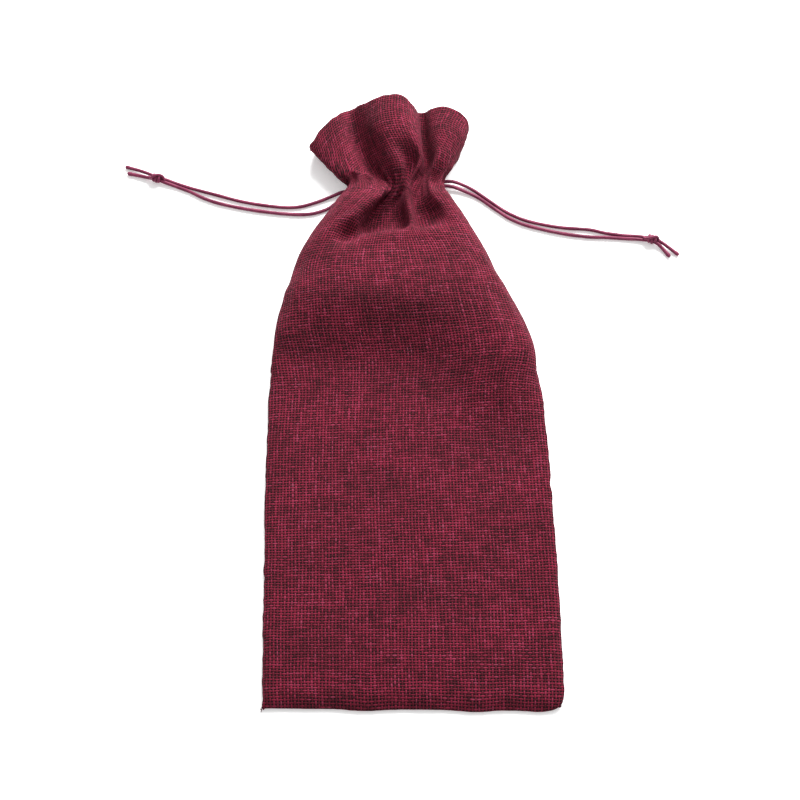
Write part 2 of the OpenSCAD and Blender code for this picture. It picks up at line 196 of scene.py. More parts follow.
SEED = 7
ROUGHNESS = 0.3  # of the side seams
SURFACE_SHARE = 0.26  # of that roughness, on the open cloth
HEM_SHARE = 0.7  # of that roughness, on the hem
FOOT_BAND = 9.0  # how far the foot's marks reach along the cloth
FOOT_BULGES = [(-24.0, 0.9), (30.0, 1.0), (62.0, 0.6)]  # place across the foot, and how far it stands out
FOOT_BULGE_WIDTH = 9.0
FOOT_RIPPLE = 0.35
RIPPLE_WAVES = (3.1, 4.9)  # each wave's length over two pi
RIPPLE_FULL_FROM = 4.0  # from the foot seam, where the ripple reaches its whole height
CORNER_ROUND = 10.0  # of the foot's right corner
PUCKER_CELLS = 4  # from one small gather at the waist to the next
PUCKER_HEIGHT = 2.2  # out of the cloth
PUCKER_SHARES = (0.4, 1.0)  # the lowest and the highest pucker, as shares of that height
PUCKER_REACH = 8.0  # along the cloth, to each side of the waist


def along_values(table, at):
    """Reads a small table of distance to value at many distances."""
    keys = sorted(table)
    return np.interp(at, keys, [table[k] for k in keys])


def distances(points):
    """The distance gone at each point of a path, from its start."""
    return np.r_[0, np.cumsum(np.linalg.norm(np.diff(points, axis=0), axis=1))]


def read_path(points, want):
    """The places on a path at the wanted distances from its start."""
    gone = distances(points)
    return np.stack([np.interp(want, gone, points[:, k]) for k in range(3)], 1)


def even_points(points, count):
    """The outline through the points, as count + 1 evenly spaced points."""
    corners = np.array(points, float)
    return read_path(corners, np.linspace(0, distances(corners)[-1], count + 1))


def unit(vectors):
    """The vectors, each with a length of one."""
    return vectors / np.maximum(np.linalg.norm(vectors, axis=-1, keepdims=True), TINY)


def back_outline(front, distance):
    """The back's outline from the left seam to the right seam, pleated upwards, under a front outline."""
    left, right = front[-1], front[0]
    low = [front[:, 0].min() + BACK_UNDER, left[1], BACK_REST]
    high = [front[:, 0].max() - BACK_UNDER, right[1], BACK_REST]
    line = even_points([left, low, high, right], HALF)
    share = np.linspace(0, 1, HALF + 1)
    pleats = 0.5 - 0.5 * np.cos(2 * np.pi * BACK_PLEATS * share)
    inside = np.interp(share, [0, BACK_PLEAT_MARGIN, 1 - BACK_PLEAT_MARGIN, 1], [0, 1, 1, 0])
    line[:, 2] += inside * pleats * along_values(BACK_PLEAT_HEIGHT, distance)
    if distance > min(HEM_BULGE):
        line[:, 1] += np.sin(np.pi * share) * along_values(HEM_BULGE, distance)
    return line


def smooth_through(points, at, want):
    """A smooth curve through points given at certain distances, read at other distances."""
    points, at = np.array(points, float), np.array(at, float)
    slope = np.gradient(points, at, axis=0)
    n = np.clip(np.searchsorted(at, want, "right") - 1, 0, len(at) - 2)
    shape = (-1,) + (1,) * (points.ndim - 1)
    gap = (at[n + 1] - at[n]).reshape(shape)
    t = (want - at[n]).reshape(shape) / gap
    t2, t3 = t * t, t * t * t
    return ((2 * t3 - 3 * t2 + 1) * points[n] + (t3 - 2 * t2 + t) * gap * slope[n]
            + (3 * t2 - 2 * t3) * points[n + 1] + (t3 - t2) * gap * slope[n + 1])


def ring(distance):
    """One closed ring of cloth: the front from right to left, then the back from left to right."""
    if distance in BODY_RINGS:
        front = even_points(BODY_RINGS[distance], HALF)
    else:
        front = smooth_through(FOLDED_RINGS[distance], FOLDS_AT, np.arange(HALF + 1) * CELL_ACROSS)
    back = back_outline(front, distance)
    return np.concatenate([front[:-1], back[:-1]])


def starting_cloth():
    """Points [along, around] of the tube of cloth, by smooth curves through the rings."""
    keys = sorted(BODY_RINGS) + sorted(FOLDED_RINGS)
    rings = [ring(k) for k in keys]
    return smooth_through(rings, keys, np.arange(CELLS_ALONG + 1) * CELL_ALONG)


class Threads:
    """How long the cloth's threads are between neighbouring points, with the fine gathers left out."""

    def __init__(self, shape):
        across = np.linalg.norm(np.roll(shape, -1, 1) - shape, axis=-1)
        along = np.linalg.norm(np.diff(shape, axis=0), axis=-1)
        self.across = np.clip(across, GATHERED * CELL_ACROSS, STRETCHED * CELL_ACROSS)
        self.along = np.clip(along, GATHERED * CELL_ALONG, STRETCHED * CELL_ALONG)
        self.diagonal = np.hypot(0.5 * (self.across[1:] + self.across[:-1]), self.along)


def draw_together(cloth, free, a, b, rest, pull, push, turn=0):
    """Moves pairs of points, all given at once, towards the distance that they rest at."""
    one, two = cloth[a], cloth[b]
    free_one, free_two = free[a], free[b]
    if turn:
        two, free_two = np.roll(two, -turn, 1), np.roll(free_two, -turn, 1)
    step = two - one
    length = np.sqrt((step * step).sum(-1)) + TINY
    off = (length - rest) / length
    off = np.where(off > 0, off * pull, off * push)
    step *= (off / np.maximum(free_one + free_two, TINY))[..., None]
    cloth[a] += step * free_one[..., None]
    step *= free_two[..., None]
    if turn:
        step = np.roll(step, turn, 1)
    cloth[b] -= step


def keep_threads(cloth, free, threads):
    """Threads across, threads along and both diagonals keep their lengths."""
    every, even, odd = slice(None), slice(0, None, 2), slice(1, None, 2)
    across, diagonal = threads.across, threads.diagonal
    draw_together(cloth, free, (every, even), (every, odd), across[:, even], PULL, PUSH)
    draw_together(cloth, free, (every, odd), (every, even), across[:, odd], PULL, PUSH, turn=1)
    for first in (0, 1):
        last = first + (CELLS_ALONG + 1 - first) // 2 * 2
        low, high = slice(first, last - 1, 2), slice(first + 1, last, 2)
        draw_together(cloth, free, (low, every), (high, every), threads.along[low], PULL, PUSH_ALONG)
    below, above = slice(None, -1), slice(1, None)
    for a, b in ((below, above), (above, below)):
        draw_together(cloth, free, (a, even), (b, odd), diagonal[:, even], SHEAR, SHEAR)
        draw_together(cloth, free, (a, odd), (b, even), diagonal[:, odd], SHEAR, SHEAR, turn=1)


def resist_bending(cloth, free, threads):
    """Points two and four cells apart are pushed apart when the cloth bends between them."""
    every = slice(None)
    for span in (2, 4):
        for first in range(span):
            a = (every, slice(first, None, 2 * span))
            b = (every, slice(first + span, None, 2 * span))
            draw_together(cloth, free, a, b, span * threads.across[a], 0, BEND)
            draw_together(cloth, free, b, a, span * threads.across[b], 0, BEND, turn=1)
        for first in range(2 * span):
            count = (CELLS_ALONG - span - first) // (2 * span) + 1
            last = first + 2 * span * (count - 1) + 1
            low = (slice(first, last, 2 * span), every)
            high = (slice(first + span, last + span, 2 * span), every)
            draw_together(cloth, free, low, high, span * threads.along[low], 0, BEND)


def near_pairs(points, reach):
    """Index pairs of points that may be nearer than reach, by sorting them into boxes of that size."""
    box = np.floor(points / reach).astype(np.int64)
    box -= box.min(0) - 1
    _, deep, high = box.max(0) + 2
    key = (box[:, 0] * deep + box[:, 1]) * high + box[:, 2]
    order = np.argsort(key, kind="stable")
    key = key[order]
    near = (-1, 0, 1)
    steps = [(dx * deep + dy) * high + dz for dx in near for dy in near for dz in near]
    one, two = [], []
    for step in sorted(set(s for s in steps if s >= 0)):
        start = np.searchsorted(key, key + step, "left")
        stop = np.searchsorted(key, key + step, "right")
        if step == 0:
            start = np.arange(len(key)) + 1
        count = np.maximum(stop - start, 0)
        for k in range(int(count.max(initial=0))):
            found = np.flatnonzero(count > k)
            one.append(found)
            two.append(start[found] + k)
    return order[np.concatenate(one)], order[np.concatenate(two)]


def push_apart(cloth, free, first_row):
    """Keeps cloth that isn't joined nearby from passing through itself."""
    points = cloth[first_row:].reshape(-1, 3)
    loose = free[first_row:].reshape(-1)
    a, b = near_pairs(points, TOUCH)
    rows = np.abs(a // CELLS_AROUND - b // CELLS_AROUND)
    columns = np.abs(a % CELLS_AROUND - b % CELLS_AROUND)
    columns = np.minimum(columns, CELLS_AROUND - columns)
    apart = points[b] - points[a]
    length = np.sqrt((apart * apart).sum(1)) + TINY
    strangers = (rows > NEIGHBOURS) | (columns > NEIGHBOURS)
    touching = strangers & (length < TOUCH) & (loose[a] + loose[b] > 0)
    a, b, apart, length = a[touching], b[touching], apart[touching], length[touching]
    push = apart * ((TOUCH - length) / length * 0.5 / np.maximum(loose[a] + loose[b], TINY))[:, None]
    total = np.stack([np.bincount(b, push[:, k] * loose[b], len(points))
                      - np.bincount(a, push[:, k] * loose[a], len(points)) for k in range(3)], 1)
    count = np.bincount(np.r_[a, b], minlength=len(points)).clip(1)
    cloth[first_row:] = (points + total / np.sqrt(count)[:, None]).reshape(-1, CELLS_AROUND, 3)


def rest_on_floor(cloth):
    """Keeps the cloth over the floor, and the front over the back where the bag is one flat pocket."""
    body = slice(1, int(LAYERED_TO / CELL_ALONG))
    height = cloth[..., 2]
    np.maximum(height, BACK_REST, out=height)
    front, back = height[body, 1:HALF], height[body, :HALF:-1]
    overlap = np.maximum(0, LAYER_GAP - (front - back))
    front += overlap * 0.5
    back -= overlap * 0.5
    np.maximum(height, BACK_REST, out=height)
    front[:] = np.maximum(front, back + LAYER_GAP)


def settled_cloth():
    """The drawn-up cloth, after it has settled under its own stiffness and weight."""
    cloth = starting_cloth()
    shape = cloth.copy()
    threads = Threads(shape)
    at = np.arange(CELLS_ALONG + 1) * CELL_ALONG
    hold = np.repeat(along_values(HOLD_FRONT, at)[:, None], CELLS_AROUND, 1)
    hold[:, HALF + 1:] *= HOLD_BACK_SHARE
    free = np.ones(cloth.shape[:2])
    waist_row = round(WAIST / CELL_ALONG)
    free[0] = 0
    free[waist_row - 1:waist_row + 2] = 0
    steps = STEPS
    before = cloth.copy()
    for step in range(steps):
        swing = SWING_EARLY if step < LATE_FROM * steps else SWING_LATE
        after = cloth + (cloth - before) * swing * free[..., None]
        before, cloth = cloth, after
        cloth[..., 2] -= GRAVITY * free
        early = max(0.0, 1 - step / (HOLD_UNTIL * steps))
        guided = hold * (HOLD_END + (HOLD_START - HOLD_END) * early)
        cloth += (shape - cloth) * (guided * free)[..., None]
        keep_threads(cloth, free, threads)
        resist_bending(cloth, free, threads)
        keep_threads(cloth, free, threads)
        if step % TOUCH_EVERY == 0:
            push_apart(cloth, free, int(TOUCH_FROM / CELL_ALONG))
        rest_on_floor(cloth)
    return cloth


def outward(cloth):
    """Unit vectors out of the tube of cloth at each of its points."""
    around = np.roll(cloth, -1, 1) - np.roll(cloth, 1, 1)
    along = np.gradient(cloth, axis=0)
    return unit(np.cross(along, around))


def sewn_roughness(random, cloth):
    """Random unevenness, which is strongest on the seams."""
    rough = random.normal(0, ROUGHNESS, cloth.shape)
    rough[:, 1:HALF] *= SURFACE_SHARE
    rough[:, HALF + 1:] *= SURFACE_SHARE
    rough[-1] = random.normal(0, HEM_SHARE * ROUGHNESS, cloth[-1].shape)
    return rough


def foot_marks(cloth, at):
    """Bulges of the foot's outline, and a ripple of the front beside the foot seam."""
    marks = np.zeros(cloth.shape)
    x = cloth[..., 0]
    near_foot = np.exp(-((at / FOOT_BAND) ** 2))
    for place, drop in FOOT_BULGES:
        marks[..., 1] -= drop * near_foot * np.exp(-(((x - place) / FOOT_BULGE_WIDTH) ** 2))
    ripple = np.sin(x / RIPPLE_WAVES[0]) + np.sin(x / RIPPLE_WAVES[1] + 1)
    height = FOOT_RIPPLE * ripple * near_foot * np.minimum(at / RIPPLE_FULL_FROM, 1)
    marks[:, 1:HALF, 2] += height[:, 1:HALF]
    return marks


def waist_puckers(random, cloth, at):
    """Small gathers that stand out round the waist, each with its own height."""
    wave = np.sin(2 * np.pi / PUCKER_CELLS * np.arange(CELLS_AROUND))
    puckers = wave * random.uniform(*PUCKER_SHARES, CELLS_AROUND)
    near_waist = np.exp(-(((at - WAIST) / PUCKER_REACH) ** 2))
    return outward(cloth) * (PUCKER_HEIGHT * puckers * near_waist)[..., None]


def round_corner(cloth):
    """Draws the foot's right corner in to an arc."""
    centre = cloth[0, 0, :2] + (-CORNER_ROUND, CORNER_ROUND)
    from_centre = cloth[..., :2] - centre
    reach = np.linalg.norm(from_centre, axis=-1)
    outside = (from_centre[..., 0] > 0) & (from_centre[..., 1] < 0) & (reach > CORNER_ROUND)
    pull = np.where(outside, CORNER_ROUND / np.maximum(reach, TINY), 1.0)[..., None]
    cloth[..., :2] = centre + from_centre * pull


def handled(cloth):
    """The cloth with the small unevenness that sewing and handling leave."""
    random = np.random.default_rng(SEED)
    at = np.arange(CELLS_ALONG + 1)[:, None] * CELL_ALONG
    rough = sewn_roughness(random, cloth) + foot_marks(cloth, at) + waist_puckers(random, cloth, at)
    cloth = cloth + rough
    round_corner(cloth)
    cloth[..., 2] = np.maximum(cloth[..., 2], BACK_REST)
    return cloth


# ---------------- mesh helpers

TUBE_END = ((-0.92, 0.40), (-0.6, 0.80))  # the rings of a tube's round end: place and width, in radii
CURVE_STEPS = 24  # between two given points of a path


def new_mesh(name, points, faces, uvs, material):
    """A smooth mesh from points in millimetres, with one UV pair for each corner of each face."""
    mesh = bpy.data.meshes.new(name)
    mesh.from_pydata((np.asarray(points, float) * MM).tolist(), [], faces)
    mesh.uv_layers.new(name="flat").data.foreach_set("uv", np.asarray(uvs, np.float32).ravel())
    mesh.polygons.foreach_set("use_smooth", [True] * len(mesh.polygons))
    mesh.materials.append(material)
    made = bpy.data.objects.new(name, mesh)
    bpy.context.scene.collection.objects.link(made)
    return made


def declare(piece, body, slot, *nodes):
    """Says which body a piece rides on, and hides the CAD nodes that it stands for. Its slot is not used."""
    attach(piece, body)
    if nodes:
        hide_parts(*nodes)


def thicken(piece, thickness, offset):
    """Gives a sheet its thickness, by a modifier."""
    thick = piece.modifiers.new("thick", "SOLIDIFY")
    thick.thickness = thickness * MM
    thick.offset = offset


def grid_faces(rows, columns, closed=False, first=0):
    """Quads between neighbouring rows and columns of a grid of points."""
    faces = []
    across = columns if closed else columns - 1
    for j in range(rows - 1):
        for i in range(across):
            k = (i + 1) % columns
            a, b = first + j * columns, first + (j + 1) * columns
            faces.append((a + i, b + i, b + k, a + k))
    return faces


def smooth_path(points, step):
    """A smooth curve through given points, as points about a step apart."""
    p = np.array(points, float)
    p = np.vstack([2 * p[0] - p[1], p, 2 * p[-1] - p[-2]])
    out = []
    t = np.linspace(0, 1, CURVE_STEPS + 1)[:-1, None]
    for k in range(1, len(p) - 2):
        a, b, c, d = p[k - 1:k + 3]
        out.append(0.5 * (2 * b + (c - a) * t + (2 * a - 5 * b + 4 * c - d) * t ** 2
                          + (3 * b - a - 3 * c + d) * t ** 3))
    dense = np.vstack(out + [p[-2]])
    return even_points(dense, max(2, round(path_length(dense) / step)))


def path_length(points):
    """The length of a path through points."""
    return float(np.linalg.norm(np.diff(points, axis=0), axis=1).sum())


def tube_frames(path):
    """The way a path runs at each point, and two directions square to it that turn little."""
    along = unit(np.gradient(path, axis=0))
    side = np.cross(along[0], (0.0, 0.0, 1.0))
    if np.linalg.norm(side) < TINY:
        side = np.array((1.0, 0.0, 0.0))
    frames = []
    for t in along:
        side = unit(side - t * (side @ t))
        frames.append((t, side, np.cross(side, t)))
    return frames


def tube_uvs(metres, sides):
    """Corner UVs of a tube's quads and its two ends: the turn around, and metres along."""
    uvs = []
    for low, high in zip(metres, metres[1:]):
        for i in range(sides):
            here, there = i / sides, (i + 1) / sides
            uvs += [(here, low), (here, high), (there, high), (there, low)]
    uvs += [(i / sides, metres[0]) for i in range(sides)]
    uvs += [(i / sides, metres[-1]) for i in reversed(range(sides))]
    return uvs


def tube_parts(path, radius, sides, first):
    """Points, faces and corner UVs of a tube with round ends, its points numbered from first."""
    path = np.asarray(path, float)
    radius = np.broadcast_to(radius, len(path)).astype(float)
    frames = tube_frames(path)
    gone = distances(path)
    rings = [(0, shift, wide) for shift, wide in TUBE_END]
    rings += [(k, 0.0, 1.0) for k in range(len(path))]
    rings += [(len(path) - 1, -shift, wide) for shift, wide in reversed(TUBE_END)]
    turns = np.arange(sides)[:, None] * 2 * np.pi / sides
    points, metres = [], []
    for k, shift, wide in rings:
        along, x, y = frames[k]
        centre = path[k] + along * shift * radius[k]
        points.append(centre + radius[k] * wide * (np.cos(turns) * x + np.sin(turns) * y))
        metres.append((gone[k] + shift * radius[k]) * MM)
    last = first + (len(rings) - 1) * sides
    faces = grid_faces(len(rings), sides, closed=True, first=first)
    faces.append(tuple(first + i for i in range(sides)))
    faces.append(tuple(last + i for i in reversed(range(sides))))
    return np.vstack(points), faces, tube_uvs(metres, sides)


def tubes_mesh(name, paths, radii, material, sides=12):
    """Several tubes as one mesh, each with its own radius."""
    points, faces, uvs, first = [], [], [], 0
    for path, radius in zip(paths, radii):
        tube_points, tube_faces, corners = tube_parts(path, radius, sides, first)
        points.append(tube_points)
        faces += tube_faces
        uvs += corners
        first += len(tube_points)
    return new_mesh(name, np.vstack(points), faces, uvs, material)


# ---------------- materials

SPECULAR = 0.15
SHEEN_ROUGHNESS = 0.45


def linear(red, green, blue):
    """A colour given as 0 to 255 on a screen, as the shader takes it."""
    parts = [c / 255 for c in (red, green, blue)]
    return tuple(c / 12.92 if c <= 0.04045 else ((c + 0.055) / 1.055) ** 2.4 for c in parts) + (1.0,)


class Shader:
    """One material, whose pattern is written as formulas of the UVs, in metres."""

    def __init__(self, name):
        self.material = bpy.data.materials.new(name)
        self.material.use_nodes = True
        self.tree = self.material.node_tree
        self.surface = self.tree.nodes["Principled BSDF"]

    def node(self, kind, *values, **settings):
        """A new node, with its first sockets fed by the values."""
        made = self.tree.nodes.new(kind)
        for key, value in settings.items():
            setattr(made, key, value)
        for value, socket in zip(values, made.inputs):
            self.put(value, socket)
        return made

    def put(self, value, socket):
        """Links another node's output to a socket, or sets a plain value on it."""
        if isinstance(value, bpy.types.NodeSocket):
            self.tree.links.new(value, socket)
        else:
            socket.default_value = value

    def math(self, operation, *values):
        return self.node("ShaderNodeMath", *values, operation=operation).outputs[0]

    def plus(self, one, two):
        return self.math("ADD", one, two)

    def times(self, one, two):
        return self.math("MULTIPLY", one, two)

    def wave(self, turns):
        """A sine wave from -1 to 1, by how many times it has turned."""
        return self.math("SINE", self.times(turns, 2 * math.pi))

    def spread(self, value, low, high, to_low=0.0, to_high=1.0):
        """Takes low..high smoothly to to_low..to_high."""
        values = (value, low, high, to_low, to_high)
        return self.node("ShaderNodeMapRange", *values, interpolation_type="SMOOTHSTEP").outputs[0]

    def uv(self):
        both = self.node("ShaderNodeUVMap", uv_map="flat").outputs[0]
        return self.node("ShaderNodeSeparateXYZ", both).outputs[:2]

    def noise(self, x, y, bumps, seed=0.0, detail=1.0):
        """Smooth noise from 0 to 1, with so many bumps for each unit of x and of y."""
        place = self.node("ShaderNodeCombineXYZ", self.times(x, bumps[0]), self.times(y, bumps[1]), seed)
        made = self.node("ShaderNodeTexNoise", place.outputs[0])
        self.put(1.0, made.inputs["Scale"])
        self.put(detail, made.inputs["Detail"])
        return made.outputs[0]

    def ramp(self, value, stops):
        """Colours by a value: stops are its places and their colours."""
        made = self.node("ShaderNodeValToRGB")
        points = made.color_ramp.elements
        while len(points) < len(stops):
            points.new(0.5)
        for point, (at, colour) in zip(points, stops):
            point.position = at
            point.color = colour
        self.put(value, made.inputs[0])
        return made.outputs[0]

    def blend(self, share, one, two):
        """Mixes two colours: the node takes them at sockets 6 and 7, and gives the result at 2."""
        made = self.node("ShaderNodeMix", data_type="RGBA")
        self.put(share, made.inputs[0])
        self.put(one, made.inputs[6])
        self.put(two, made.inputs[7])
        return made.outputs[2]

    def bump(self, height, depth, strength):
        """Bump by a height from 0 to 1, depth metres tall."""
        made = self.node("ShaderNodeBump")
        self.put(strength, made.inputs["Strength"])
        self.put(depth, made.inputs["Distance"])
        self.put(height, made.inputs["Height"])
        self.put(made.outputs[0], self.surface.inputs["Normal"])

    def finish(self, colour, roughness, sheen, tint):
        values = {"Base Color": colour, "Roughness": roughness, "Specular IOR Level": SPECULAR,
                  "Sheen Weight": sheen, "Sheen Roughness": SHEEN_ROUGHNESS, "Sheen Tint": tint}
        for name, value in values.items():
            self.put(value, self.surface.inputs[name])
        return self.material


PINK_SHEEN = linear(235, 120, 155)
PALE_SHEEN = linear(240, 170, 200)
# Painted shade: near black, painted into the gaps between the threads and down each thread's rounded sides.
GAP_SHADE = linear(8, 3, 4)
YARN_TONES = [(0.26, linear(62, 12, 25)), (0.42, linear(93, 20, 37)), (0.55, linear(120, 27, 50)),
              (0.68, linear(133, 43, 68)), (0.80, linear(112, 60, 74))]
WANDER = 0.6  # how far threads stray from straight lines, as a share of the pitch
WANDER_BUMPS = (90.0, 60.0)  # a metre across and along
THREAD_APART = 7.31  # between the noises of neighbouring threads, so that each has its own
SLUB_BUMPS = 110.0  # thick and thin places a metre along a thread
THREAD_HALF = (0.22, 0.36)  # half the width of a thin and of a thick thread, as shares of the pitch
TONE_BUMPS = 100.0  # tones a metre along a thread
CRIMP = 0.36  # how far a thread rises and falls over others, as a share of its height
FIBRE_BUMPS = (2600.0, 2600.0)
PATCH_BUMPS = (22.0, 48.0)  # broad lighter and darker patches, a metre across and along
WEAVE_DEPTH = 0.00045  # metres


def thread_row(s, across, along, pitch, seed):
    """Parallel threads: the place across them, the thread's number, its round face's height, and its tone."""
    wander = s.times(s.noise(across, along, WANDER_BUMPS, seed), WANDER)
    place = s.plus(s.math("DIVIDE", across, pitch * MM), wander)
    number = s.math("FLOOR", place)
    off = s.math("SUBTRACT", s.math("FRACT", place), 0.5)
    slub = s.noise(number, along, (THREAD_APART, SLUB_BUMPS), seed + 3.0)
    share = s.math("DIVIDE", off, s.spread(slub, 0.3, 0.7, *THREAD_HALF))
    left = s.math("MAXIMUM", s.math("SUBTRACT", 1.0, s.times(share, share)), 0.0)
    tone = s.noise(number, along, (THREAD_APART, TONE_BUMPS), seed + 8.0, detail=3.0)
    return place, number, s.math("SQRT", left), tone


def crossing(s, height, along_place, number, flip):
    """Lowers and raises a thread as it passes under and over the threads that cross it."""
    phase = s.plus(s.math("SUBTRACT", along_place, 0.5), s.plus(number, flip))
    wave = s.math("COSINE", s.times(phase, math.pi))
    return s.times(height, s.math("MULTIPLY_ADD", wave, CRIMP, 1 - CRIMP))


def woven_cloth():
    """Coarse plain weave of uneven red yarn, with painted shade in the holes between the threads and down
    their rounded sides.
    """
    s = Shader("woven_cloth")
    u, v = s.uv()
    place_u, warp, warp_high, warp_tone = thread_row(s, u, v, WARP_PITCH, 0.0)
    place_v, weft, weft_high, weft_tone = thread_row(s, v, u, WEFT_PITCH, 20.0)
    warp_high = crossing(s, warp_high, place_v, warp, 0.0)
    weft_high = crossing(s, weft_high, place_u, weft, 1.0)
    top = s.math("MAXIMUM", warp_high, weft_high)
    over = s.math("GREATER_THAN", weft_high, warp_high)
    yarn = s.blend(over, s.ramp(warp_tone, YARN_TONES), s.ramp(weft_tone, YARN_TONES))
    fibre = s.noise(u, v, FIBRE_BUMPS, 4.0, detail=2.0)
    patch = s.noise(u, v, PATCH_BUMPS, 31.0, detail=3.0)
    # Painted shade: the colour runs from the yarn's tone down to the gap shade as a thread's rounded face
    # falls away, and where it dips under a crossing thread. The fibre and patch noises are the yarn's own
    # uneven tone.
    shade_and_tone = s.times(s.spread(top, 0.12, 0.74), s.spread(fibre, 0.2, 0.8, 0.8, 1.1))
    shade_and_tone = s.times(shade_and_tone, s.spread(patch, 0.3, 0.7, 0.86, 1.1))
    s.bump(s.plus(top, s.times(fibre, 0.15)), WEAVE_DEPTH, 0.85)
    return s.finish(s.blend(shade_and_tone, GAP_SHADE, yarn), 0.9, 0.06, PINK_SHEEN)


CORD_RIBS = 9.0  # round the cord
CORD_RIB_TURN = 60.0  # ribs passed in a metre along, as they turn round the cord
CORD_WEFT_PITCH = 0.00055  # metres
CORD_TONES = [(0.30, linear(84, 26, 50)), (0.52, linear(110, 38, 66)), (0.75, linear(138, 62, 88))]


def satin_cord():
    """Smooth plum cord with fine lengthwise ribs that turn slowly round it."""
    s = Shader("satin_cord")
    u, v = s.uv()
    ribs = s.wave(s.plus(s.times(u, CORD_RIBS), s.times(v, CORD_RIB_TURN)))
    weft = s.wave(s.math("DIVIDE", v, CORD_WEFT_PITCH))
    height = s.math("MULTIPLY_ADD", ribs, 0.35, s.math("MULTIPLY_ADD", weft, 0.15, 0.5))
    tone = s.noise(u, v, (2.0, 160.0), 2.0, detail=3.0)
    # Painted shade: the colour follows the ribs' height, darker in the grooves between them; the noise is the
    # cord's own uneven tone.
    rib_shade_and_tone = s.math("MULTIPLY_ADD", height, 0.35, s.times(tone, 0.7))
    s.bump(height, 0.00012, 0.7)
    return s.finish(s.ramp(rib_shade_and_tone, CORD_TONES), 0.5, 0.15, PALE_SHEEN)


SEWING_TWIST = 0.0009  # metres to one turn of the thread's twist
SEWING_TONES = [(0.1, linear(58, 13, 26)), (0.9, linear(97, 28, 46))]


def sewing_thread():
    """Fine twisted thread, a shade darker than the cloth."""
    s = Shader("sewing_thread")
    u, v = s.uv()
    twist = s.wave(s.plus(s.times(u, 2.0), s.math("DIVIDE", v, SEWING_TWIST)))
    height = s.math("MULTIPLY_ADD", twist, 0.5, 0.5)
    s.bump(height, 0.0001, 0.8)
    # Painted shade: the colour follows the twist's height, darker in its grooves.
    return s.finish(s.ramp(height, SEWING_TONES), 0.6, 0.1, PALE_SHEEN)


FLOOR_GLOW = 0.25  # the floor is a white light table, so that shadows on it stay pale
FLOOR_TONES = [(0.0, (0.96, 0.96, 0.96, 1)), (1.0, (0.98, 0.98, 0.98, 1))]


def pale_floor():
    """White, with a very faint unevenness."""
    s = Shader("pale_floor")
    u, v = s.uv()
    s.put(FLOOR_GLOW, s.surface.inputs["Emission Strength"])
    return s.finish(s.ramp(s.noise(u, v, (30.0, 30.0)), FLOOR_TONES), 0.9, 0.0, (1, 1, 1, 1))


# ---------------- camera

CAMERA_TARGET = (-2.5, -8.6, 0.0)
CAMERA_DISTANCE = 697.0
CAMERA_ELEVATION = math.radians(68)
BAG_TURN = math.radians(1.46)
CAMERA_LENS = 57.7


def make_camera():
    """The photograph's place, above the table and in front of the bag's foot."""
    camera = bpy.data.objects.new("camera", bpy.data.cameras.new("camera"))
    camera.data.lens = CAMERA_LENS
    bpy.context.scene.collection.objects.link(camera)
    flat = math.cos(CAMERA_ELEVATION)
    back = (-flat * math.sin(BAG_TURN), -flat * math.cos(BAG_TURN), math.sin(CAMERA_ELEVATION))
    camera.location = [(t + CAMERA_DISTANCE * b) * MM for t, b in zip(CAMERA_TARGET, back)]
    camera.rotation_euler = (math.pi / 2 - CAMERA_ELEVATION, 0, -BAG_TURN)
    bpy.context.scene.camera = camera


# ---------------- cords and knots

def make_strand(name, body, material):
    """One strand of a drawcord, from inside the casing through its knot to a cut tip."""
    path = smooth_path(STRAND_ROUTES[name], CORD_RING_STEP)
    gone = np.linspace(0, 1, len(path))
    fast, slow = CORD_UNEVEN_WAVES
    wide = CORD_DIAMETER / 2 * (1 + CORD_UNEVEN * np.sin(gone * fast + len(name)) * np.sin(gone * slow))
    wide[-2:] *= TIP_FLARE
    strand = tubes_mesh(name + "_cord", [path], [wide], material)
    declare(strand, body, "cord", name)


KNOT_TURNS = 2.35  # of the strand that wraps the others
KNOT_CORE = 1.75  # from the knot's axis to the middle of the wrapping strand
KNOT_PITCH = 1.7
KNOT_SWELL = 0.12  # how much wider the knot is in its middle, as a share
KNOT_FLATTENED = 0.86  # height over width
KNOT_POINTS = 60
# The strand that holds the wrap down, along the knot's own axis.
KNOT_OVER = [(-4.6, -0.5, -0.2), (-3.3, -1.6, 1.0), (-1.4, -1.3, 2.4), (0.6, 0.2, 2.9), (2.2, 1.5, 1.9),
             (3.4, 1.4, 0.3), (4.4, 0.4, -0.2)]
KNOT_OVER_STEP = 0.4
KNOT_RADII = (0.85, 0.8)  # of the wrap and of the strand over it, pulled thinner than the loose cord


def knot_paths():
    """An overhand knot in a doubled cord, along +X: a wrap of about two turns, under one strand."""
    turns = np.linspace(0, KNOT_TURNS * 2 * np.pi, KNOT_POINTS)
    start = -KNOT_TURNS * KNOT_PITCH / 2
    reach = KNOT_CORE * (1 + KNOT_SWELL * np.sin(np.linspace(0, np.pi, KNOT_POINTS)))
    wrap = np.stack([start + turns / (2 * np.pi) * KNOT_PITCH, reach * np.cos(turns),
                     KNOT_FLATTENED * reach * np.sin(turns)], 1)
    return [wrap, smooth_path(KNOT_OVER, KNOT_OVER_STEP)]


def make_knot(name, body, material):
    """The knot that ties a drawcord's two tails together."""
    centre, turn = KNOTS[name]
    c, s = math.cos(math.radians(turn)), math.sin(math.radians(turn))
    spin = np.array([(c, s, 0), (-s, c, 0), (0, 0, 1)])
    knot = tubes_mesh(name + "_tied", [p @ spin + centre for p in knot_paths()], KNOT_RADII, material)
    declare(knot, body, "cord", name)
    return knot


